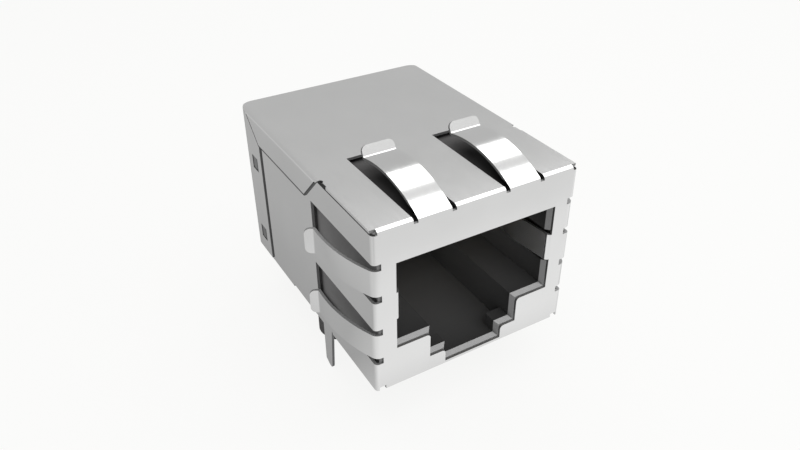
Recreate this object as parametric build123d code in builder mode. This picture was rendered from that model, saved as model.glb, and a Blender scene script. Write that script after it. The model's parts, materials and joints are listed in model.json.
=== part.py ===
from build123d import *
import math
import os

os.makedirs("parts", exist_ok=True)

# Shielded modular jack with its magnetics inside. Millimetres, Z up, mouth towards -Y.
# Z = 0 is the face of the circuit board it is soldered to, and the origin is midway between the two pegs.

# Shield: one folded sheet
sheet = 0.2
bend_radius = 0.3
corner_radius = 1.0
shield_width = 16.0
shield_front = -10.7
shield_rear = 10.9
shield_top = 13.4
plate_bottom = 0.25
seam_gap = 0.1
corner_clip = 0.5
relief_radius = 0.2

# Side panels, which reach lower behind a small step
side_rear = 9.8
side_step_y = 3.25
side_rear_bottom = 0.05

# Flaps that close over the side panels
flap_gap = 0.02
top_flap_bottom = 11.12
top_flap_front = -3.5
flap_junction_y = 7.3
mitre_top_y = 9.75
mitre_gap = 0.12
cover_bottom = 0.5
snap_width = 1.1
snap_height = 1.2
snap_y = 8.65
snap_heights = (2.33, 9.05)
nib_rear_gap = 0.2
nib_front_gap = 0.1
nib_bottom_gap = 0.15
nib_lap = 0.05
nib_taper = 10

# Plug opening in the moulding, and how much wider the sheet's window is
plug_half = 6.1
step_half = 3.45
slot_half = 2.15
plug_ceiling = 10.65
plug_floor = 3.8
step_floor = 1.75
slot_floor = 0.7
lead_in = 0.25
lead_depth = 0.3
window_top = 10.6
nose_corner = 0.3

# Spring fingers
top_finger_x = 3.5
top_finger_width = 2.5
top_window_width = 3.15
side_finger_heights = (4.19, 9.43)
side_finger_width = 2.0
side_window_height = 3.0
window_rear = -1.75
top_reach = 0.05
side_reach = 0.1
side_bend = 0.6
side_proud = 0.1
top_crest_radius = 9.0
top_rise = 30
top_fall = 14
top_tip_length = 0.72
side_crest_radius = 11.85
side_rise = 24
side_fall = 5.2
side_tip_length = 0.6
hook_radius = 0.2
tip_angle = 60
tip_corner = 0.45

# Ground springs folded back into the plug cavity
ear_inset = 0.3
ear_bottom = 6.1
ear_top = 8.25
ground_bow = 6
ground_run = 3.0
ground_turn_radius = 3.0
ground_exit = 2.0

# Board legs of the shield
leg_rear = -2.3
leg_front = -3.72
leg_narrowing = 0.37
leg_shoulder = -3.35
leg_tip = -3.65
leg_tip_front = -3.25
leg_tip_rear = -2.9
leg_tip_corner = 0.12
leg_notch = 0.15

# Moulded housing
fit_gap = 0.05
housing_bottom = 0.35
housing_corner = 0.5
front_wall = 1.3
cavity_end = 1.5
divider = 1.7
chamber_wall = 0.8
finger_pocket = 0.16
pocket_margin = 0.1
ground_recess = 0.5
ground_margin = 0.25
ground_end = -4.5
peg_spacing = 11.43
peg_radius = 1.625
peg_length = 3.25
peg_taper = 0.5
peg_bevel = 0.4
peg_shoulder = 0.3
foot_size = 1.3
housing_foot_inset = 0.2
foot_front_y = -8.6
foot_rear_y = 9.2

# Spring contacts
contact_count = 8
contact_pitch = 1.02
contact_width = 0.45
contact_thickness = 0.25
contact_top = 12.05
nose_y = -8.2
nose_radius = 0.75
contact_slope = 20
contact_free_length = 7.9
tail_drop_y = 3.65
tail_heights = (10.2, 11.2)
tail_bend = 0.35
tail_stickout = 0.4

# Contact insert
insert_gap = 0.05
channel_front = -9.3
insert_half = 4.6
rib_clearance = 0.06
rib_height = 0.25
comb_bottom = 7.2
comb_front = -1.6
comb_slot_depth = 1.7
insert_rear = 3.1

# Inner board
board_front = 4.2
board_thickness = 0.8
board_clearance = 0.25
board_bottom = 1.1
board_top = 12.2
contact_hole = 0.75
pin_hole = 0.84
hole_sides = 8

# Board pins and their carrier
pin_pitch = 1.27
pin_rows = (6.35, 8.89)
pin_leg_heights = (1.75, 2.75)
pin_size = 0.46
pin_length = 3.3
pin_bend = 0.35
pin_stickout = 0.25
pin_point = 0.12
carrier_bottom = 0.35
carrier_gap = 0.1
carrier_hole_gap = 0.02

# Magnetics
core_sides = 24
core_outer = 1.4
core_inner = 0.65
core_length = 1.4
wire = 0.18
wire_gap = 0.05
turns = 9
winding_span = 300
lead_length = 0.07
core_x = 3.7
core_heights = (4.9, 8.3)

# Chip parts
resistor_size = (1.6, 0.45, 0.8)
resistor_height = 6.2
resistor_places = (-4.5, -1.5, 1.5, 4.5)
capacitor_size = (1.6, 1.25, 3.2)
capacitor_height = 6.4
cap_end = 0.35
cap_proud = 0.03
chip_gap = 0.02

# Worked-out places
half_width = shield_width / 2
flap_half = half_width + flap_gap + sheet
side_top = shield_top - sheet - seam_gap
front_mid = shield_front + sheet / 2
rear_mid = shield_rear - sheet / 2
top_mid = shield_top - sheet / 2
side_mid = half_width - sheet / 2
flap_mid = flap_half - sheet / 2
mid_radius = bend_radius - sheet / 2
finger_root_x = half_width + side_proud - side_bend - side_reach
housing_half = half_width - sheet - fit_gap
housing_front = shield_front + sheet + fit_gap
housing_rear = shield_rear - sheet - fit_gap
housing_top = shield_top - sheet - fit_gap
chamber_front = cavity_end + divider
chamber_half = housing_half - chamber_wall
chamber_roof = housing_top - chamber_wall
channel_half = insert_half + insert_gap
board_half = chamber_half - board_clearance
foot_front_x = housing_half - foot_size / 2 - housing_foot_inset
board_rear = board_front + board_thickness


def mouth_points(grow, top, bottom):
    """Outline of the plug opening seen from the front, with its latch step and slot, grown all round."""
    wide = plug_half + grow
    step = step_half + grow
    slot = slot_half + grow
    right = [
        (slot, bottom),
        (slot, step_floor - grow),
        (step, step_floor - grow),
        (step, plug_floor - grow),
        (wide, plug_floor - grow),
        (wide, top),
    ]
    left = [(-x, z) for x, z in reversed(right)]
    return right + left


def spring_finger(plane, width, reach, root_bend, crest_radius, rise, fall, tip_length):
    """Sheet finger that leaves the front bend, bows outwards and ends in an upturned tip."""
    with BuildPart() as finger:
        with BuildSketch(plane):
            with BuildLine():
                foot = Line((sheet / 2, -root_bend - reach), (sheet / 2, -root_bend))
                bend = JernArc(foot @ 1, foot % 1, root_bend - sheet / 2, rise - 90)
                crest = JernArc(bend @ 1, bend % 1, crest_radius, -rise - fall)
                hook = JernArc(crest @ 1, crest % 1, hook_radius, fall + tip_angle)
                Line(hook @ 1, hook @ 1 + tip_length * (hook % 1))
            trace(line_width=sheet)
        extrude(amount=width / 2, both=True)
        thin = finger.edges().filter_by(lambda edge: abs(edge.length - sheet) < sheet / 100)
        fillet(thin.sort_by(Axis.Y)[-2:], tip_corner)
    return finger.part


def ground_spring(side):
    """Leaf folded back from the ear beside the plug opening, bowed towards the plug."""
    height = (ear_bottom + ear_top) / 2
    start_x = side * (plug_half + lead_in)
    inner_x = side * (plug_half + lead_in - ear_inset + sheet / 2)
    with BuildPart() as leaf:
        with BuildSketch(Plane.XY.offset(height)):
            with BuildLine():
                root = Line((start_x + side * mid_radius, front_mid), (inner_x + side * mid_radius, front_mid))
                bend = JernArc(root @ 1, root % 1, mid_radius, -side * (90 - ground_bow))
                run = Line(bend @ 1, bend @ 1 + ground_run * (bend % 1))
                turn = JernArc(run @ 1, run % 1, ground_turn_radius, side * -2 * ground_bow)
                Line(turn @ 1, turn @ 1 + ground_exit * (turn % 1))
            trace(line_width=sheet)
        extrude(amount=(ear_top - ear_bottom) / 2, both=True)
    return leaf.part


mitre_run = mitre_top_y - flap_junction_y
mitre_rise = shield_top - top_flap_bottom
mitre_shift = mitre_gap / 2 * math.hypot(mitre_run, mitre_rise) / mitre_rise
seam_end_y = flap_junction_y + mitre_run * (side_top - top_flap_bottom) / mitre_rise

with BuildPart() as hood:
    # Front plate, top panel and rear cover, bent at the two ends of the top
    with BuildSketch(Plane.YZ):
        with BuildLine():
            FilletPolyline(
                (front_mid, plate_bottom),
                (front_mid, top_mid),
                (rear_mid, top_mid),
                (rear_mid, cover_bottom),
                radius=mid_radius,
            )
        trace(line_width=sheet)
    extrude(amount=half_width - bend_radius - seam_gap, both=True)
    # Top panel out to the side panels
    with BuildSketch(Plane.XY.offset(shield_top - sheet)):
        with Locations((0, (shield_front + bend_radius + side_step_y) / 2)):
            Rectangle(shield_width, side_step_y - shield_front - bend_radius)
    extrude(amount=sheet)
    # Side flaps of the top, behind the spring fingers
    with BuildSketch(Plane.XZ.offset(-shield_rear)):
        with BuildLine():
            FilletPolyline(
                (-flap_mid, top_flap_bottom),
                (-flap_mid, top_mid),
                (flap_mid, top_mid),
                (flap_mid, top_flap_bottom),
                radius=mid_radius,
            )
        trace(line_width=sheet)
    extrude(amount=shield_rear - top_flap_front)
    for side in (-1, 1):
        with BuildSketch(Plane.YZ.offset(side * (flap_half - bend_radius))):
            flap_rise = shield_top - top_flap_bottom
            Polygon(
                (top_flap_front + flap_rise, top_flap_bottom),
                (top_flap_front, shield_top),
                (top_flap_front - 1, shield_top),
                (top_flap_front - 1, top_flap_bottom),
                align=None,
            )
            Polygon(
                (flap_junction_y - mitre_shift, top_flap_bottom),
                (seam_end_y - mitre_shift, side_top),
                (shield_rear, side_top),
                (shield_rear, top_flap_bottom),
                align=None,
            )
        extrude(amount=side, mode=Mode.SUBTRACT)
    # Rounded rear corners
    with BuildSketch(Plane.XY) as plan:
        with Locations((0, (shield_front + shield_rear) / 2)):
            Rectangle(2 * flap_half, shield_rear - shield_front)
        fillet(plan.vertices().group_by(Axis.Y)[-1], corner_radius)
    extrude(amount=shield_top, mode=Mode.INTERSECT)
    with BuildSketch(Plane.XY.offset(side_top)):
        with Locations((-half_width, top_flap_front - relief_radius), (half_width, top_flap_front - relief_radius)):
            Circle(relief_radius)
    extrude(amount=bend_radius + seam_gap, mode=Mode.SUBTRACT)

with BuildPart() as rear_cover:
    # Rear cover wrapped round both sides, with a snap window in two places on each flap
    with BuildSketch(Plane.XY.offset(cover_bottom)):
        with BuildLine():
            FilletPolyline(
                (-flap_mid, flap_junction_y),
                (-flap_mid, rear_mid),
                (flap_mid, rear_mid),
                (flap_mid, flap_junction_y),
                radius=corner_radius - sheet / 2,
            )
        trace(line_width=sheet)
    extrude(amount=shield_top - sheet - cover_bottom)
    with BuildSketch(Plane.YZ):
        Polygon(
            (flap_junction_y + mitre_shift, top_flap_bottom),
            (mitre_top_y + mitre_shift, shield_top),
            (0, shield_top),
            (0, top_flap_bottom),
            align=None,
        )
    extrude(amount=shield_width, both=True, mode=Mode.SUBTRACT)
    with BuildSketch(Plane.YZ):
        with Locations(*[(snap_y, height) for height in snap_heights]):
            Rectangle(snap_width, snap_height)
    extrude(amount=shield_width, both=True, mode=Mode.SUBTRACT)

with BuildPart() as shield:
    # Side panels and front plate, bent at the two front corners
    with BuildSketch(Plane.XY.offset(side_rear_bottom)):
        with BuildLine():
            FilletPolyline(
                (-side_mid, side_rear),
                (-side_mid, front_mid),
                (side_mid, front_mid),
                (side_mid, side_rear),
                radius=mid_radius,
            )
        trace(line_width=sheet)
    extrude(amount=side_top - side_rear_bottom)
    with BuildSketch(Plane.XY.offset(side_rear_bottom)):
        with Locations((0, (shield_front + side_step_y) / 2)):
            Rectangle(2 * shield_width, side_step_y - shield_front)
    extrude(amount=plate_bottom - side_rear_bottom, mode=Mode.SUBTRACT)
    add(hood.part)
    add(rear_cover.part)
    # Plug window with its rounded noses, closed below by a narrow strip, and the clipped lower corners
    noses = [(slot_half + lead_in, step_floor - lead_in), (step_half + lead_in, plug_floor - lead_in)]
    with BuildSketch(Plane.XZ.offset(-shield_front)) as window:
        Polygon(*mouth_points(lead_in, window_top, slot_floor - lead_in), align=None)
        for nose in noses:
            fillet(window.vertices().filter_by(lambda v: math.dist((abs(v.X), v.Y), nose) < fit_gap), nose_corner)
        with Locations((corner_clip - half_width, plate_bottom), (half_width - corner_clip, plate_bottom)):
            Rectangle(corner_clip, 2 * bend_radius)
    extrude(amount=bend_radius, both=True, mode=Mode.SUBTRACT)
    # Windows round the spring fingers
    window_length = window_rear - shield_front
    with BuildSketch(Plane.XY.offset(shield_top - bend_radius - top_reach)):
        for x in (-top_finger_x, top_finger_x):
            with Locations((x, shield_front + window_length / 2)):
                Rectangle(top_window_width, window_length)
    extrude(amount=shield_top, mode=Mode.SUBTRACT)
    for side in (-1, 1):
        with BuildSketch(Plane.YZ.offset(side * finger_root_x)):
            for height in side_finger_heights:
                with Locations((shield_front + window_length / 2, height)):
                    Rectangle(window_length, side_window_height)
        extrude(amount=side * shield_width, mode=Mode.SUBTRACT)
    slot_radius = (side_window_height - side_finger_width) / 4
    slot_offset = side_finger_width / 2 + slot_radius
    slot_end = finger_root_x + slot_radius
    with BuildSketch(Plane.XZ.offset(-shield_front)):
        for side in (-1, 1):
            for height in side_finger_heights:
                for offset in (-slot_offset, slot_offset):
                    with Locations((side * slot_end, height + offset)):
                        Circle(slot_radius)
                    with Locations((side * (slot_end + slot_radius), height + offset)):
                        Rectangle(2 * slot_radius, 2 * slot_radius)
    extrude(amount=bend_radius, both=True, mode=Mode.SUBTRACT)
    for side in (-1, 1):
        top_corner = Plane((side * top_finger_x, shield_front, shield_top), x_dir=(0, 1, 0), z_dir=(1, 0, 0))
        top_arch = (top_crest_radius, top_rise, top_fall, top_tip_length)
        add(spring_finger(top_corner, top_finger_width, top_reach, bend_radius, *top_arch))
        for height in side_finger_heights:
            corner_place = (side * (half_width + side_proud), shield_front, height)
            side_corner = Plane(corner_place, x_dir=(0, 1, 0), z_dir=(0, 0, -side))
            side_arch = (side_crest_radius, side_rise, side_fall, side_tip_length)
            add(spring_finger(side_corner, side_finger_width, side_reach, side_bend, *side_arch))
        add(ground_spring(side))
        # Board leg, narrower towards its tip, with the notch in front of it
        with BuildSketch(Plane.YZ.offset(side * half_width)) as leg:
            Polygon(
                (leg_front, plate_bottom + sheet),
                (leg_front + leg_narrowing, leg_shoulder),
                (leg_tip_front, leg_tip),
                (leg_tip_rear, leg_tip),
                (leg_rear, leg_shoulder),
                (leg_rear, plate_bottom + sheet),
                align=None,
            )
            fillet(leg.vertices().group_by(Axis.Y)[0], leg_tip_corner)
        extrude(amount=-side * sheet)
        with BuildSketch(Plane.YZ.offset(side * half_width)):
            with Locations((leg_front - leg_notch / 2, plate_bottom)):
                Rectangle(leg_notch, 2 * leg_notch)
        extrude(amount=-side * sheet, mode=Mode.SUBTRACT)
        # Nibs that the rear cover snaps over, seated against the upper edge of its windows
        nib_y = snap_y + (nib_front_gap - nib_rear_gap) / 2
        nib_width = snap_width - nib_front_gap - nib_rear_gap
        nib_shift = (nib_bottom_gap + nib_lap) / 2
        with BuildSketch(Plane.YZ.offset(side * half_width)):
            with Locations(*[(nib_y, height + nib_shift) for height in snap_heights]):
                Rectangle(nib_width, snap_height - nib_bottom_gap + nib_lap)
        extrude(amount=side * (sheet + flap_gap), taper=nib_taper)
shield.part.label = "shield"
export_step(shield.part, "parts/shield.step")

with BuildPart() as housing:
    with BuildSketch(Plane.XY.offset(housing_bottom)) as outline:
        with Locations((0, (housing_front + housing_rear) / 2)):
            Rectangle(2 * housing_half, housing_rear - housing_front)
        fillet(outline.vertices().group_by(Axis.Y)[-1], housing_corner)
    extrude(amount=housing_top - housing_bottom)
    # Plug opening with its lead-in, then the cavity and latch recess behind the front wall
    with BuildSketch(Plane.XZ.offset(-housing_front)):
        Polygon(*mouth_points(0, plug_ceiling, slot_floor), align=None)
    extrude(amount=-front_wall - lead_depth, mode=Mode.SUBTRACT)
    for depth, grow in ((0, lead_in), (lead_depth, 0)):
        with BuildSketch(Plane.XZ.offset(-housing_front - depth)):
            Polygon(*mouth_points(grow, plug_ceiling, slot_floor - grow), align=None)
    loft(ruled=True, mode=Mode.SUBTRACT)
    inner_front = housing_front + front_wall
    with BuildSketch(Plane.XZ.offset(-inner_front)):
        with Locations((0, (plug_floor + plug_ceiling) / 2)):
            Rectangle(2 * plug_half, plug_ceiling - plug_floor)
        with Locations((0, (slot_floor + plug_ceiling) / 2)):
            Rectangle(2 * step_half, plug_ceiling - slot_floor)
    extrude(amount=inner_front - cavity_end, mode=Mode.SUBTRACT)
    # Channel for the contact insert, through the divider at the rear of the cavity
    with BuildSketch(Plane.XZ.offset(-channel_front)):
        with Locations((0, (plug_ceiling - insert_gap + chamber_roof) / 2)):
            Rectangle(2 * channel_half, chamber_roof - plug_ceiling + insert_gap)
    extrude(amount=channel_front - chamber_front, mode=Mode.SUBTRACT)
    with BuildSketch(Plane.XZ.offset(-cavity_end)):
        with Locations((0, (comb_bottom - insert_gap + chamber_roof) / 2)):
            Rectangle(2 * channel_half, chamber_roof - comb_bottom + insert_gap)
    extrude(amount=cavity_end - chamber_front, mode=Mode.SUBTRACT)
    # Rear chamber, open at the rear and the bottom
    with BuildSketch(Plane.XY):
        with Locations((0, (chamber_front + shield_rear) / 2)):
            Rectangle(2 * chamber_half, shield_rear - chamber_front)
    extrude(amount=chamber_roof, mode=Mode.SUBTRACT)
    # Pockets that let the spring fingers flex
    pocket_width = top_window_width + 2 * pocket_margin
    pocket_length = window_rear + pocket_margin - housing_front
    pocket_y = housing_front + pocket_length / 2
    with BuildSketch(Plane.XY.offset(housing_top)):
        with Locations((-top_finger_x, pocket_y), (top_finger_x, pocket_y)):
            Rectangle(pocket_width, pocket_length)
    extrude(amount=-finger_pocket, mode=Mode.SUBTRACT)
    for side in (-1, 1):
        with BuildSketch(Plane.YZ.offset(side * housing_half)):
            with Locations(*[(pocket_y, height) for height in side_finger_heights]):
                Rectangle(pocket_length, side_window_height + 2 * pocket_margin)
        extrude(amount=-side * finger_pocket, mode=Mode.SUBTRACT)
        # Recess behind each ground spring
        with BuildSketch(Plane.YZ.offset(side * (plug_half - pocket_margin))):
            with Locations(((housing_front + ground_end) / 2, (ear_bottom + ear_top) / 2)):
                Rectangle(ground_end - housing_front, ear_top - ear_bottom + 2 * ground_margin)
        extrude(amount=side * (ground_recess + pocket_margin), mode=Mode.SUBTRACT)
        # Board peg with its shoulder, and the pads the body rests on
        with BuildSketch(Plane.XY):
            with Locations((side * peg_spacing / 2, 0)):
                Circle(peg_radius + peg_shoulder)
            with Locations((side * foot_front_x, foot_front_y)):
                Rectangle(foot_size, foot_size)
            with Locations((side * (housing_half + chamber_half) / 2, foot_rear_y)):
                Rectangle(chamber_wall - pocket_margin, foot_size)
        extrude(amount=2 * housing_bottom)
        with BuildSketch(Plane.XY):
            with Locations((side * peg_spacing / 2, 0)):
                Circle(peg_radius)
        extrude(amount=-(peg_length - peg_taper))
        with BuildSketch(Plane.XY.offset(peg_taper - peg_length)):
            with Locations((side * peg_spacing / 2, 0)):
                Circle(peg_radius)
        extrude(amount=-peg_taper, taper=math.degrees(math.atan2(peg_bevel, peg_taper)))
housing.part.label = "housing"
export_step(housing.part, "parts/housing.step")

contact_places = [(index - (contact_count - 1) / 2) * contact_pitch for index in range(contact_count)]
nose_centre_z = contact_top - nose_radius
insert_top = contact_top - contact_thickness / 2 - rib_clearance
insert_nose = insert_top - nose_centre_z

with BuildPart() as contact_insert:
    # Plate with a rounded nose that the contacts wrap round, and the comb that guides their ends
    with BuildSketch(Plane.YZ):
        with Locations((nose_y, nose_centre_z)):
            Circle(insert_nose)
        with Locations(((nose_y + insert_rear) / 2, nose_centre_z)):
            Rectangle(insert_rear - nose_y, 2 * insert_nose)
        with Locations(((comb_front + insert_rear) / 2, (comb_bottom + nose_centre_z) / 2)):
            Rectangle(insert_rear - comb_front, nose_centre_z - comb_bottom)
    extrude(amount=insert_half, both=True)
    with BuildSketch(Plane.XY.offset(insert_top - rib_height)):
        for index in range(contact_count + 1):
            with Locations(((index - contact_count / 2) * contact_pitch, (nose_y + insert_rear) / 2)):
                Rectangle(contact_pitch - contact_width - 2 * rib_clearance, insert_rear - nose_y)
    extrude(amount=contact_thickness + rib_clearance + 1.5 * rib_height)
    with BuildSketch(Plane.XY.offset(comb_bottom)):
        with Locations(*[(x, comb_front + comb_slot_depth / 2) for x in contact_places]):
            Rectangle(contact_width + 2 * rib_clearance, comb_slot_depth)
    extrude(amount=nose_centre_z - insert_nose - comb_bottom, mode=Mode.SUBTRACT)
contact_insert.part.label = "contact_insert"
export_step(contact_insert.part, "parts/contact_insert.step")

for index, x in enumerate(contact_places):
    tail_height = tail_heights[index % 2]
    with BuildPart() as contact:
        # The hidden tail turns in single facets
        with BuildSketch(Plane.YZ.offset(x)):
            with BuildLine():
                tail = Line((board_rear + tail_stickout, tail_height), (tail_drop_y + tail_bend, tail_height))
                lower = Line(tail @ 1, (tail_drop_y, tail_height + tail_bend))
                drop = Line(lower @ 1, (tail_drop_y, contact_top - tail_bend))
                upper = Line(drop @ 1, (tail_drop_y - tail_bend, contact_top))
                top = Line(upper @ 1, (nose_y, contact_top))
                nose = JernArc(top @ 1, top % 1, nose_radius, 180 - contact_slope)
                Line(nose @ 1, nose @ 1 + contact_free_length * (nose % 1))
            trace(line_width=contact_thickness)
        extrude(amount=contact_width / 2, both=True)
    contact.part.label = f"contact_{index + 1}"
    export_step(contact.part, f"parts/contact_{index + 1}.step")

pin_places = [(index - (contact_count - 1) / 2) * pin_pitch for index in range(contact_count)]

with BuildPart() as circuit_board:
    with BuildSketch(Plane.XZ.offset(-board_front)):
        with Locations((0, (board_bottom + board_top) / 2)):
            Rectangle(2 * board_half, board_top - board_bottom)
        for index in range(contact_count):
            with Locations((contact_places[index], tail_heights[index % 2])):
                RegularPolygon(contact_hole / 2, hole_sides, mode=Mode.SUBTRACT)
            with Locations((pin_places[index], pin_leg_heights[index % 2])):
                RegularPolygon(pin_hole / 2, hole_sides, mode=Mode.SUBTRACT)
    extrude(amount=-board_thickness)
circuit_board.part.label = "circuit_board"
export_step(circuit_board.part, "parts/circuit_board.step")

with BuildPart() as pin_carrier:
    # Moulded base that closes the chamber from below and guides the pins
    with BuildSketch(Plane.XY.offset(carrier_bottom)):
        with Locations((0, (chamber_front + carrier_gap + housing_rear) / 2)):
            Rectangle(2 * (chamber_half - fit_gap), housing_rear - chamber_front - carrier_gap)
        for index in range(contact_count):
            with Locations((pin_places[index], pin_rows[index % 2])):
                Rectangle(pin_size + 2 * carrier_hole_gap, pin_size + 2 * carrier_hole_gap, mode=Mode.SUBTRACT)
    extrude(amount=board_bottom - carrier_gap / 2 - carrier_bottom)
pin_carrier.part.label = "pin_carrier"
export_step(pin_carrier.part, "parts/pin_carrier.step")

for index, x in enumerate(pin_places):
    row = pin_rows[index % 2]
    height = pin_leg_heights[index % 2]
    with BuildPart() as board_pin:
        with BuildSketch(Plane.YZ.offset(x)):
            with BuildLine():
                stem = Line((row, -pin_length), (row, height - pin_bend))
                elbow = Line(stem @ 1, (row - pin_bend, height))
                Line(elbow @ 1, (board_front - pin_stickout, height))
            trace(line_width=pin_size)
        extrude(amount=pin_size / 2, both=True)
        chamfer(board_pin.faces().sort_by(Axis.Z)[0].edges(), pin_point)
    board_pin.part.label = f"board_pin_{index + 1}"
    export_step(board_pin.part, f"parts/board_pin_{index + 1}.step")

wound_outer = core_outer + wire_gap + wire / 2
wound_inner = core_inner - wire_gap - wire / 2
wound_depth = core_length / 2 + wire_gap + wire / 2
ring_y = board_rear + wire_gap + wire / 2 + wound_depth + lead_length
turn_step = winding_span / turns
first_turn = 90 - winding_span / 2


def round_ring(x, z, radius, depth, angle):
    """Point at an angle round a ring's axis, a depth along it from the ring's middle."""
    turned = math.radians(angle)
    return (x + radius * math.cos(turned), ring_y + depth, z + radius * math.sin(turned))


ring_places = {
    "transmit_transformer": (-core_x, core_heights[1]),
    "receive_transformer": (core_x, core_heights[1]),
    "transmit_choke": (-core_x, core_heights[0]),
    "receive_choke": (core_x, core_heights[0]),
}
for name, (x, z) in ring_places.items():
    with BuildPart() as core:
        # The hidden ring turns in flat facets
        with BuildSketch(Plane.XZ.offset(core_length / 2 - ring_y)):
            with Locations((x, z)):
                RegularPolygon(core_outer, core_sides)
                RegularPolygon(core_inner, core_sides, mode=Mode.SUBTRACT)
        extrude(amount=-core_length)
    core.part.label = f"{name}_core"
    export_step(core.part, f"parts/{name}_core.step")

    path = [round_ring(x, z, wound_outer, board_rear + wire_gap - ring_y, first_turn)]
    for turn in range(turns):
        angle = first_turn + turn * turn_step
        path.append(round_ring(x, z, wound_outer, wound_depth, angle))
        path.append(round_ring(x, z, wound_inner, wound_depth, angle + turn_step / 2))
        path.append(round_ring(x, z, wound_inner, -wound_depth, angle + turn_step / 2))
        path.append(round_ring(x, z, wound_outer, -wound_depth, angle + turn_step))
    path.append(round_ring(x, z, wound_outer, board_rear + wire_gap - ring_y, first_turn + winding_span))
    with BuildPart() as winding:
        with BuildLine():
            route = Polyline(*path)
        with BuildSketch(Plane(route @ 0, z_dir=route % 0)):
            Rectangle(wire, wire)
        sweep(transition=Transition.RIGHT)
    winding.part.label = f"{name}_winding"
    export_step(winding.part, f"parts/{name}_winding.step")


def chip(size, x, y, z, upright):
    """Chip part lying against the inner board, with a slightly thicker metal cap at each end."""
    width, depth, height = size
    length = height if upright else width
    with BuildPart() as body:
        with BuildSketch(Plane.XZ.offset(-y)):
            with Locations((x, z)):
                Rectangle(width, height)
        extrude(amount=depth / 2 - cap_proud, both=True)
        for end in (-1, 1):
            shift = end * (length - cap_end) / 2
            place = (x, z + shift) if upright else (x + shift, z)
            with BuildSketch(Plane.XZ.offset(-y)):
                with Locations(place):
                    Rectangle(width if upright else cap_end, cap_end if upright else height)
            extrude(amount=depth / 2, both=True)
    return body.part


for index, x in enumerate(resistor_places):
    resistor = chip(resistor_size, x, board_front - chip_gap - resistor_size[1] / 2, resistor_height, False)
    resistor.label = f"termination_resistor_{index + 1}"
    export_step(resistor, f"parts/termination_resistor_{index + 1}.step")

capacitor = chip(capacitor_size, 0, board_rear + chip_gap + capacitor_size[1] / 2, capacitor_height, True)
capacitor.label = "isolation_capacitor"
export_step(capacitor, "parts/isolation_capacitor.step")
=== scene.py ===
import json
import math

import bpy
from mathutils import Matrix, Vector
from mathutils.bvhtree import BVHTree


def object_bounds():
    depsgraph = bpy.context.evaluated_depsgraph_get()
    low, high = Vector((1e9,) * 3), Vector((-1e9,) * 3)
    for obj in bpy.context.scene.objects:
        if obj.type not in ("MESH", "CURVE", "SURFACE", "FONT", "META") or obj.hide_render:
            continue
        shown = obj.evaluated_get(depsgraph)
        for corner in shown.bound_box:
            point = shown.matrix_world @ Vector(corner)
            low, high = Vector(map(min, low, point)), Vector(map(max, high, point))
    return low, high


# A satin nickel shield round a glossy black moulding, on a white sweep. Metres, Z up, mouth towards -Y.
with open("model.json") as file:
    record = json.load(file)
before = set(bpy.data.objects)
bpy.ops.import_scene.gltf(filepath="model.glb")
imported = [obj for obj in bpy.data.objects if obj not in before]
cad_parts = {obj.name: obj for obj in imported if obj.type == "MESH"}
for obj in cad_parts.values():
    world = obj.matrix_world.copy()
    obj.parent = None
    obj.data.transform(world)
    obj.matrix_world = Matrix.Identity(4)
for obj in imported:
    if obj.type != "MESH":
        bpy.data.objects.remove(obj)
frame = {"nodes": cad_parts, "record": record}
cad_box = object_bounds()
nodes = frame["nodes"]

MM = 0.001

# Viewpoint of the photograph
IMAGE_WIDTH = 800
SENSOR_WIDTH = 36.0
CAMERA_FOCAL_PX = 736.5
CAMERA_PLACE = Vector((-24.507, -42.384, 37.673)) * MM
CAMERA_AZIMUTH = -30.22
CAMERA_ELEVATION = 33.58
CAMERA_ROLL = 0.49
CAMERA_REACH = 10

# Metal finishes
SHIELD_COLOUR = (0.77, 0.77, 0.765)
SHIELD_ROUGHNESS = 0.14
PANEL_ROUGHNESS = 0.18
SPRING_ROUGHNESS = 0.45
CUT_COLOUR = (0.3, 0.3, 0.3)
CUT_ROUGHNESS = 0.55
# Reach in millimetres and darkest share of the painted crevice shade on the cut edges
CUT_SHADE_REACH = 0.3
CUT_SHADE_DARKEST = 0.15
# Near-black painted shade for the faces deep in the sheet's seams
SEAM_SHADE_COLOUR = (0.03, 0.03, 0.03)
SEAM_ROUGHNESS = 0.5
METAL_GLOSS_SPREAD = 0.015
METAL_WAVE = 0.0012

# Moulded finishes
PLASTIC_COLOUR = (0.05, 0.049, 0.049)
PLASTIC_IOR = 2.2
PLASTIC_GLOSS_SPREAD = 0.03
PLASTIC_TINT_SPREAD = 0.07
PLASTIC_GRAIN = 0.001
RECESS_COLOUR = (0.09, 0.088, 0.088)
# Reach in millimetres of the painted shade in the top pockets and on the pegs
RECESS_SHADE_REACH = 2.0
POCKET_COLOUR = (0.12, 0.118, 0.118)
POCKET_IOR = 1.5
# Reach in millimetres of the painted shade in the side pockets, and the darkest share of the mouldings'
# painted shade
POCKET_SHADE_REACH = 1.2
MOULDED_SHADE_DARKEST = 0.1
# Cavity greys by Y in millimetres, lighter deeper in as painted light
CAVITY_PAINTED_LIGHT_GREYS = ((-10.5, 0.026), (-2, 0.15))

# Sintered and laminated finishes
SPECKLED_GLOSS_SPREAD = 0.06
SPECKLED_GRAIN = 0.003

# Open share of the surroundings at which a crevice's painted shade is darkest and at which it ends
CREVICE_OPENNESS = (0.3, 0.85)
CREVICE_SAMPLES = 24

# Painted shadow line round the top's side flap: place and width of its bottom edge by Z and its slanted edge
# by Y + Z
FLAP_BOTTOM = 11.12
FLAP_BOTTOM_SHADOW_LINE = 0.12
FLAP_SLANT = 9.9
FLAP_SLANT_SHADOW_LINE = 0.17
SHADOW_LINE_BLUR = 0.03

# How much of a face's normal lies along an axis: all, nearly all, or the share that a slant has
FLAT = 0.999
NEARLY_UPRIGHT = 0.95
SLANTED = 0.6
LEAD_IN_SLANT = (-0.9, -0.3)

# Thickness of the shield's sheet, the depth below a face at which its probe starts, and what counts as deep
SHEET = 0.2 * MM
PROBE_START = 0.02 * SHEET
DEEP = 1.5 * SHEET
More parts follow.
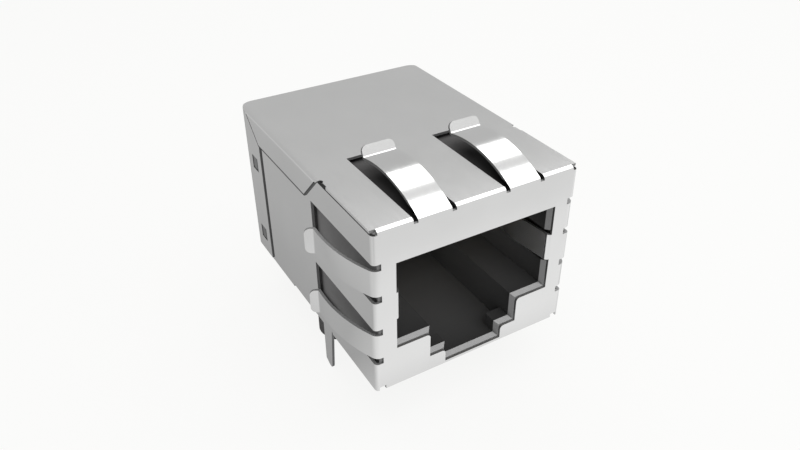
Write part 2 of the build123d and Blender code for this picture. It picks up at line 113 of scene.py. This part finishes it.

# Where the faces with a finish, painted shade or painted light of their own lie: ranges of distance from the
# middle, Y and Z in millimetres
FAR = 100
ALL = (-FAR, FAR)
SPRING_ZONE = ((-FAR, 6.6), (-10.3, FAR), (4, 11))
SILL_ZONE = (ALL, (-FAR, -10.4), (-FAR, 0.6))
ROOF_ZONE = (ALL, ALL, (13.15, FAR))
SEAM_ZONE = ((7.7, FAR), ALL, (11, FAR))
TOP_GAP_ZONE = (ALL, ALL, (13.09, 13.11))
NOTCH_ZONE = ((-FAR, 8.05), (-4.6, -3.3), (13.15, 13.39))
FLAP_ZONE = ((8.1, FAR), (-FAR, 7.4), (FLAP_BOTTOM, FAR))
TOP_ZONE = (ALL, ALL, (13.35, 13.45))
PEG_ZONE = (ALL, ALL, (-FAR, 0.3))
TOP_POCKET_ZONE = ((-FAR, 5.3), ALL, (12.9, 13.1))
CAVITY_ZONE = ((-FAR, 6.7), (-10.2, FAR), (0.6, 12.4))
SIDE_POCKET_ZONE = ((7.5, 7.74), (-FAR, -1.6), (2.5, 11.1))

# Studio: white of the background, and the softboxes, floor and surroundings, in millimetres
WHITE = (0.955, 0.955, 0.947)
SOFTBOX_HEIGHT = 120
SOFTBOX_BRIGHTNESS = 1.8
REAR_SOFTBOX = ((-50, 36), (150, 108))
FRONT_SOFTBOX = ((-60, -150), (140, 7))
FLOOR_HALF = 600
FLOOR_GREY = (0.8, 0.8, 0.79)
FLOOR_ROUGHNESS = 0.9
FLOOR_GLOW = 0.93
SKY_AROUND = ((-0.3, 0.85), (0.3, 0.57))
SKY_TOP = 0.84
SKY_RISE = (0.6, 0.8)

# The sweep as the metal mirrors it, a glow with painted light and shadow, in millimetres: grey by Y in front
# of the object and by X on either side, darkest close to the object as its painted shadow, where it turns
# from one to the other, and where it is shaded at the left
FRONT_SWEEP = ((-30, 0.85), (-26, 0.95), (-14, 1.0))
SIDE_SWEEP = ((4, 0.3), (9, 0.4), (14, 0.49), (19, 0.49), (23, 0.58), (30, 0.66))
SWEEP_TURN = (-16, -3)
SWEEP_LEFT = (-22, -8)
SWEEP_LEFT_SHADE = 0.76


def add_camera():
    """Camera at the photograph's viewpoint, built from its two angles and a small roll."""
    azimuth = math.radians(CAMERA_AZIMUTH)
    elevation = math.radians(CAMERA_ELEVATION)
    forward = Vector(
        (
            -math.sin(azimuth) * math.cos(elevation),
            math.cos(azimuth) * math.cos(elevation),
            -math.sin(elevation),
        )
    )
    right = forward.cross(Vector((0, 0, 1))).normalized()
    up = right.cross(forward)
    turn = Matrix.Rotation(math.radians(-CAMERA_ROLL), 3, -forward)
    right = turn @ right
    up = turn @ up
    data = bpy.data.cameras.new("camera")
    data.sensor_width = SENSOR_WIDTH
    data.lens = CAMERA_FOCAL_PX / IMAGE_WIDTH * SENSOR_WIDTH
    data.clip_start = MM
    data.clip_end = CAMERA_REACH
    camera = bpy.data.objects.new("camera", data)
    axes = Matrix((right, up, -forward)).transposed()
    camera.matrix_world = Matrix.Translation(CAMERA_PLACE) @ axes.to_4x4()
    bpy.context.scene.collection.objects.link(camera)
    bpy.context.scene.camera = camera


def new_material(name):
    """Material with its node tree and its shader."""
    material = bpy.data.materials.new(name)
    material.use_nodes = True
    tree = material.node_tree
    return material, tree, tree.nodes["Principled BSDF"]


def axes_of(tree, kind="Object"):
    """X, Y and Z of one kind of texture coordinates."""
    coordinates = tree.nodes.new("ShaderNodeTexCoord")
    split = tree.nodes.new("ShaderNodeSeparateXYZ")
    tree.links.new(coordinates.outputs[kind], split.inputs["Vector"])
    return split.outputs["X"], split.outputs["Y"], split.outputs["Z"]


def computed(tree, operation, *values):
    """Result of an arithmetic operation on one or two values."""
    node = tree.nodes.new("ShaderNodeMath")
    node.operation = operation
    for index, value in enumerate(values):
        if isinstance(value, float):
            node.inputs[index].default_value = value
        else:
            tree.links.new(value, node.inputs[index])
    return node.outputs["Value"]


def noise(tree, scale, detail=4.0, roughness=0.55, stretch=(1, 1, 1)):
    """Noise in the part's own metres; scale is in features per millimetre."""
    coordinates = tree.nodes.new("ShaderNodeTexCoord")
    mapping = tree.nodes.new("ShaderNodeMapping")
    mapping.inputs["Scale"].default_value = [scale / MM * share for share in stretch]
    texture = tree.nodes.new("ShaderNodeTexNoise")
    texture.inputs["Scale"].default_value = 1.0
    texture.inputs["Detail"].default_value = detail
    texture.inputs["Roughness"].default_value = roughness
    tree.links.new(coordinates.outputs["Object"], mapping.inputs["Vector"])
    tree.links.new(mapping.outputs["Vector"], texture.inputs["Vector"])
    return texture.outputs["Fac"]


def ramp(tree, value, low, high, start=0.3, end=0.7):
    """Value mapped to a range of numbers or between two colours."""
    if isinstance(low, tuple):
        node = tree.nodes.new("ShaderNodeValToRGB")
        node.color_ramp.elements[0].position = start
        node.color_ramp.elements[0].color = (*low, 1)
        node.color_ramp.elements[1].position = end
        node.color_ramp.elements[1].color = (*high, 1)
        tree.links.new(value, node.inputs["Fac"])
        return node.outputs["Color"]
    node = tree.nodes.new("ShaderNodeMapRange")
    node.inputs["From Min"].default_value = start
    node.inputs["From Max"].default_value = end
    node.inputs["To Min"].default_value = low
    node.inputs["To Max"].default_value = high
    tree.links.new(value, node.inputs["Value"])
    return node.outputs["Result"]


def greys(tree, value, stops, unit=MM):
    """Value mapped through a list of positions, in a unit, and the grey at each."""
    first = stops[0][0] * unit
    reach = stops[-1][0] * unit - first
    node = tree.nodes.new("ShaderNodeValToRGB")
    elements = node.color_ramp.elements
    for index, (place, grey) in enumerate(stops):
        element = elements[index] if index < 2 else elements.new(1.0)
        element.position = (place * unit - first) / reach
        element.color = (grey, grey, grey, 1)
    tree.links.new(ramp(tree, value, 0.0, 1.0, start=first, end=first + reach), node.inputs["Fac"])
    return node.outputs["Color"]


def mixed(tree, share, first, second):
    """Blend of two greys or colours by a share."""
    node = tree.nodes.new("ShaderNodeMix")
    node.data_type = "RGBA"
    tree.links.new(share, node.inputs["Factor"])
    for socket, colour in (("A", first), ("B", second)):
        target = [entry for entry in node.inputs if entry.identifier == f"{socket}_Color"][0]
        if isinstance(colour, float):
            target.default_value = (colour, colour, colour, 1)
        else:
            tree.links.new(colour, target)
    return [entry for entry in node.outputs if entry.identifier == "Result_Color"][0]


def mixed_shaders(tree, share, first, second):
    """Blend of two shaders by a share."""
    node = tree.nodes.new("ShaderNodeMixShader")
    tree.links.new(share, node.inputs["Fac"])
    tree.links.new(first, node.inputs[1])
    tree.links.new(second, node.inputs[2])
    return node.outputs["Shader"]


def bump(tree, shader, height, distance, strength=1.0):
    """Relief of a height map; distance is in millimetres."""
    node = tree.nodes.new("ShaderNodeBump")
    node.inputs["Strength"].default_value = strength
    node.inputs["Distance"].default_value = distance * MM
    tree.links.new(height, node.inputs["Height"])
    tree.links.new(node.outputs["Normal"], shader.inputs["Normal"])


def scaled(colour, factor):
    """Colour made darker or lighter."""
    return tuple(channel * factor for channel in colour)


def shaded(tree, colour, share):
    """Colour times a share."""
    product = tree.nodes.new("ShaderNodeVectorMath")
    product.operation = "SCALE"
    tree.links.new(colour, product.inputs["Vector"])
    tree.links.new(share, product.inputs["Scale"])
    return product.outputs["Vector"]


def painted_crevice_shade(tree, colour, reach, darkest, only_local=True):
    """Colour with painted shade: made darker where another surface lies closer than the reach, in
    millimetres.
    """
    hollow = tree.nodes.new("ShaderNodeAmbientOcclusion")
    hollow.samples = CREVICE_SAMPLES
    hollow.only_local = only_local
    hollow.inputs["Distance"].default_value = reach * MM
    start, end = CREVICE_OPENNESS
    return shaded(tree, colour, ramp(tree, hollow.outputs["AO"], darkest, 1.0, start=start, end=end))


def painted_flap_shadow_line(tree, colour):
    """Colour with the painted shadow line along the bottom and slanted front edge of the top's side flap."""
    _, y, z = axes_of(tree)
    slant = computed(tree, "ADD", y, z)
    lines = []
    for value, edge in ((z, FLAP_BOTTOM + FLAP_BOTTOM_SHADOW_LINE), (slant, FLAP_SLANT + FLAP_SLANT_SHADOW_LINE)):
        lines.append(ramp(tree, value, 0.0, 1.0, start=edge * MM, end=(edge + SHADOW_LINE_BLUR) * MM))
    return shaded(tree, colour, computed(tree, "MINIMUM", *lines))


def metal(name, colour, roughness, variation=0.03, painted_seam_shade=False, shade=None):
    """Rolled and plated sheet: faint cloudiness, fine rolling grain and slightly uneven gloss; optionally a
    painted shadow line along the flap and painted shade in crevices.
    """
    material, tree, shader = new_material(name)
    shader.inputs["Metallic"].default_value = 1.0
    clouded_and_shaded = ramp(tree, noise(tree, scale=0.25, detail=3.0), scaled(colour, 1 - variation), colour)
    # Painted shadow line along the flap's bottom and slanted edges
    if painted_seam_shade:
        clouded_and_shaded = painted_flap_shadow_line(tree, clouded_and_shaded)
    # Painted shade in crevices
    if shade:
        clouded_and_shaded = painted_crevice_shade(tree, clouded_and_shaded, shade, CUT_SHADE_DARKEST)
    tree.links.new(clouded_and_shaded, shader.inputs["Base Color"])
    grain = noise(tree, scale=6.0, detail=5.0, stretch=(1.0, 0.12, 1.0))
    gloss = ramp(tree, grain, roughness - METAL_GLOSS_SPREAD, roughness + METAL_GLOSS_SPREAD)
    tree.links.new(gloss, shader.inputs["Roughness"])
    bump(tree, shader, noise(tree, scale=0.35, detail=2.0), METAL_WAVE)
    return material


def plastic(name, colour, roughness, sheen=0.5, index=PLASTIC_IOR, shade=None):
    """Black moulding compound with slightly uneven gloss and texture, with optional painted shade in its
    hollows; without a colour, a grey that gets lighter with depth as painted light in the deep cavity.
    """
    material, tree, shader = new_material(name)
    if colour:
        cloud = noise(tree, scale=0.5, detail=3.0)
        darkest = scaled(colour, 1 - PLASTIC_TINT_SPREAD)
        tint = ramp(tree, cloud, darkest, scaled(colour, 1 + PLASTIC_TINT_SPREAD))
    else:
        # Grey lighter deeper in the cavity, as painted light
        _, depth, _ = axes_of(tree)
        tint = greys(tree, depth, CAVITY_PAINTED_LIGHT_GREYS)
    # Painted shade in hollows and under nearby parts
    if shade:
        tint = painted_crevice_shade(tree, tint, shade, MOULDED_SHADE_DARKEST, only_local=False)
    tree.links.new(tint, shader.inputs["Base Color"])
    shader.inputs["Specular IOR Level"].default_value = sheen
    shader.inputs["IOR"].default_value = index
    cloud = noise(tree, scale=2.0, detail=4.0)
    gloss = ramp(tree, cloud, roughness - PLASTIC_GLOSS_SPREAD, roughness + PLASTIC_GLOSS_SPREAD)
    tree.links.new(gloss, shader.inputs["Roughness"])
    bump(tree, shader, noise(tree, scale=9.0, detail=3.0), PLASTIC_GRAIN, strength=0.6)
    return material


def speckled(name, dark, light, roughness, scale):
    """Ceramic, ferrite or laminate: fine grain between two colours."""
    material, tree, shader = new_material(name)
    grain = noise(tree, scale, detail=6.0, roughness=0.7)
    tree.links.new(ramp(tree, grain, dark, light), shader.inputs["Base Color"])
    gloss = ramp(tree, grain, roughness + SPECKLED_GLOSS_SPREAD, roughness - SPECKLED_GLOSS_SPREAD)
    tree.links.new(gloss, shader.inputs["Roughness"])
    bump(tree, shader, grain, SPECKLED_GRAIN, strength=0.5)
    return material


def inside(place, zone):
    """Whether a place in millimetres lies in a zone."""
    distances = (abs(place.x), place.y, place.z)
    return all(low < distance < high for distance, (low, high) in zip(distances, zone))


def is_spring(place, _normal):
    """Ground springs inside the mouth."""
    return inside(place, SPRING_ZONE)


def sheared(mesh):
    """Test for the faces that the blanking tool sheared, where the sheet is deep behind the face."""
    vertices = [vertex.co for vertex in mesh.vertices]
    tree = BVHTree.FromPolygons(vertices, [polygon.vertices for polygon in mesh.polygons])

    def is_sheared(place, normal):
        burnished_flap = inside(place, ROOF_ZONE) and abs(normal.x) > FLAT
        burnished_slant = normal.y < -SLANTED and normal.z < -SLANTED
        if burnished_flap or burnished_slant:
            return False
        if inside(place, SILL_ZONE) and normal.z > FLAT:
            return True
        depth = tree.ray_cast(place * MM - normal * PROBE_START, -normal)[3]
        return depth is None or depth > DEEP

    return is_sheared


def is_painted_seam_shade(place, normal):
    """Faces deep in the seams of the folded sheet, where no light comes in, which get a near-black painted
    shade.
    """
    mitre = normal.y < -SLANTED and normal.z > SLANTED
    top_gap = inside(place, TOP_GAP_ZONE) and normal.z > FLAT
    return inside(place, SEAM_ZONE) and (mitre or top_gap or inside(place, NOTCH_ZONE))


def is_flap(place, normal):
    """Outer faces of the top's side flaps, which carry a painted shadow line along their edges."""
    return inside(place, FLAP_ZONE) and abs(normal.x) > NEARLY_UPRIGHT


def is_top(place, normal):
    """Flat of the top, which the rolls left duller than the bends and fingers."""
    return inside(place, TOP_ZONE) and normal.z > FLAT


def is_recess(place, _normal):
    """Pockets below the top fingers, and the pegs, which are moulded duller."""
    return inside(place, PEG_ZONE) or inside(place, TOP_POCKET_ZONE)


def is_cavity(place, normal):
    """Walls of the plug cavity, behind its lead-in."""
    return inside(place, CAVITY_ZONE) and not LEAD_IN_SLANT[0] < normal.y < LEAD_IN_SLANT[1]


def is_side_pocket(place, _normal):
    """Pockets below the side fingers."""
    return inside(place, SIDE_POCKET_ZONE)


def paint_faces(mesh, material, belongs):
    """Adds a material to a mesh for the faces whose centre, in millimetres, and normal pass a test."""
    slot = len(mesh.materials)
    mesh.materials.append(material)
    for polygon in mesh.polygons:
        if belongs(polygon.center / MM, polygon.normal):
            polygon.material_index = slot


def paint_nodes():
    """Gives every CAD node the finish of its material slot."""
    finishes = {
        "shield_nickel": metal("satin_nickel", SHIELD_COLOUR, SHIELD_ROUGHNESS),
        "housing_plastic": plastic("glossy_black_moulding", PLASTIC_COLOUR, 0.3),
        "insert_plastic": plastic("dull_black_moulding", PLASTIC_COLOUR, 0.5),
        "contact_gold": metal("gold_plate", (0.83, 0.6, 0.25), 0.22),
        "pin_tin": metal("tin_plate", (0.72, 0.72, 0.7), 0.34),
        "board_laminate": speckled("green_laminate", (0.02, 0.12, 0.045), (0.035, 0.18, 0.07), 0.4, 2.0),
        "ferrite": speckled("ferrite", (0.03, 0.03, 0.032), (0.07, 0.07, 0.072), 0.6, 5.0),
        "magnet_wire": metal("enamelled_wire", (0.62, 0.25, 0.1), 0.25),
        "resistor_ceramic": speckled("resistor_glaze", (0.01, 0.01, 0.012), (0.03, 0.03, 0.032), 0.35, 4.0),
        "capacitor_ceramic": speckled("tan_ceramic", (0.36, 0.25, 0.14), (0.44, 0.32, 0.2), 0.5, 4.0),
    }
    for entry in frame["record"]["subparts"]:
        mesh = nodes[entry["node"]].data
        mesh.materials.clear()
        mesh.materials.append(finishes[entry["material_slot"]])


def paint_shield():
    """Finishes of the shield's springs, cut edges, seams, flaps and top, with painted shade in the cut edges'
    crevices, near-black painted shade in the seams and a painted shadow line on the flaps; its metal doesn't
    mirror itself.
    """
    mesh = nodes["shield"].data
    spring = metal("dull_nickel_spring", SHIELD_COLOUR, SPRING_ROUGHNESS)
    # Cut edges with painted crevice shade
    edge = metal("sheared_edge", CUT_COLOUR, CUT_ROUGHNESS, variation=0.15, shade=CUT_SHADE_REACH)
    # Seam faces with near-black painted shade
    painted_seam_shade = metal("seam_shadow", SEAM_SHADE_COLOUR, SEAM_ROUGHNESS, variation=0.2)
    # Flap faces with a painted shadow line along their edges
    flap = metal("satin_nickel_flap", SHIELD_COLOUR, PANEL_ROUGHNESS, painted_seam_shade=True)
    top = metal("satin_nickel_top", SHIELD_COLOUR, PANEL_ROUGHNESS)
    paint_faces(mesh, spring, is_spring)
    paint_faces(mesh, edge, sheared(mesh))
    paint_faces(mesh, painted_seam_shade, is_painted_seam_shade)
    paint_faces(mesh, flap, is_flap)
    paint_faces(mesh, top, is_top)
    nodes["shield"].visible_glossy = False


def paint_housing():
    """Finishes of the housing's recesses, cavity and side pockets, with painted shade in the recesses and
    side pockets and painted light deeper in the cavity.
    """
    mesh = nodes["housing"].data
    # Top pockets and pegs with painted shade
    recess = plastic("dull_black_recess", RECESS_COLOUR, 0.6, sheen=0.0, shade=RECESS_SHADE_REACH)
    # Cavity painted lighter deeper in, as painted light
    cavity = plastic("black_cavity", None, 0.6, sheen=0.0)
    # Side pockets with painted shade
    pocket = plastic("black_pocket", POCKET_COLOUR, 0.5, index=POCKET_IOR, shade=POCKET_SHADE_REACH)
    paint_faces(mesh, recess, is_recess)
    paint_faces(mesh, cavity, is_cavity)
    paint_faces(mesh, pocket, is_side_pocket)


def light_path(tree, kind):
    """Share that is one for rays of one kind."""
    return tree.nodes.new("ShaderNodeLightPath").outputs[kind]


def camera_white(tree, other, share):
    """Mixes a white glow over a shader, by a share, in what the camera itself sees."""
    glow = tree.nodes.new("ShaderNodeEmission")
    glow.inputs["Color"].default_value = (*WHITE, 1)
    part = computed(tree, "MULTIPLY", light_path(tree, "Is Camera Ray"), share)
    return mixed_shaders(tree, part, other, glow.outputs["Emission"])


def mirrored_sweep(tree):
    """Glow of the sweep as the metal mirrors it, painted with light and shadow: white in front, greyer beside
    the object as its painted shadow, and to the left.
    """
    x, y, _ = axes_of(tree)
    fade = ramp(tree, x, SWEEP_LEFT_SHADE, 1.0, start=SWEEP_LEFT[0] * MM, end=SWEEP_LEFT[1] * MM)
    front = shaded(tree, greys(tree, y, FRONT_SWEEP), fade)
    side = greys(tree, computed(tree, "ABSOLUTE", x), SIDE_SWEEP)
    turn = ramp(tree, y, 0.0, 1.0, start=SWEEP_TURN[0] * MM, end=SWEEP_TURN[1] * MM)
    glow = tree.nodes.new("ShaderNodeEmission")
    tree.links.new(mixed(tree, turn, front, side), glow.inputs["Color"])
    return glow.outputs["Emission"]


def add_floor():
    """White floor with the object's shadow, which the metal mirrors as the sweep."""
    low = cad_box[0][2]
    half = FLOOR_HALF * MM
    mesh = bpy.data.meshes.new("floor")
    corners = [(-half, -half, low), (half, -half, low), (half, half, low), (-half, half, low)]
    mesh.from_pydata(corners, [], [(0, 1, 2, 3)])
    floor = bpy.data.objects.new("floor", mesh)
    bpy.context.scene.collection.objects.link(floor)
    material, tree, shader = new_material("white_floor")
    shader.inputs["Base Color"].default_value = (*FLOOR_GREY, 1)
    shader.inputs["Roughness"].default_value = FLOOR_ROUGHNESS
    glossy = light_path(tree, "Is Glossy Ray")
    surface = mixed_shaders(tree, glossy, shader.outputs["BSDF"], mirrored_sweep(tree))
    surface = camera_white(tree, surface, FLOOR_GLOW)
    tree.links.new(surface, tree.nodes["Material Output"].inputs["Surface"])
    mesh.materials.append(material)


def add_world():
    """White surroundings for the camera, and a grey studio, lighter in front and overhead, for the rest."""
    world = bpy.data.worlds.new("studio")
    bpy.context.scene.world = world
    world.use_nodes = True
    tree = world.node_tree
    light = tree.nodes["Background"]
    _, y, z = axes_of(tree, "Generated")
    around = greys(tree, y, SKY_AROUND, unit=1)
    height = ramp(tree, z, 0.0, 1.0, start=SKY_RISE[0], end=SKY_RISE[1])
    tree.links.new(mixed(tree, height, around, SKY_TOP), light.inputs["Color"])
    surface = camera_white(tree, light.outputs["Background"], 1.0)
    tree.links.new(surface, tree.nodes["World Output"].inputs["Surface"])


def add_softbox(name, corner, far_corner):
    """Rectangular light facing down over the object. Corners in millimetres."""
    width = (far_corner[0] - corner[0]) * MM
    depth = (far_corner[1] - corner[1]) * MM
    data = bpy.data.lights.new(name, "AREA")
    data.shape = "RECTANGLE"
    data.size = width
    data.size_y = depth
    data.energy = SOFTBOX_BRIGHTNESS * math.pi * width * depth
    lamp = bpy.data.objects.new(name, data)
    middle = (Vector(corner) + Vector(far_corner)) / 2
    lamp.location = Vector((*middle, SOFTBOX_HEIGHT)) * MM
    lamp.visible_camera = False
    bpy.context.scene.collection.objects.link(lamp)


add_camera()
paint_nodes()
paint_shield()
paint_housing()
add_floor()
add_world()
add_softbox("rear_softbox", *REAR_SOFTBOX)
add_softbox("front_softbox", *FRONT_SOFTBOX)

bpy.context.scene.view_settings.view_transform = "Standard"
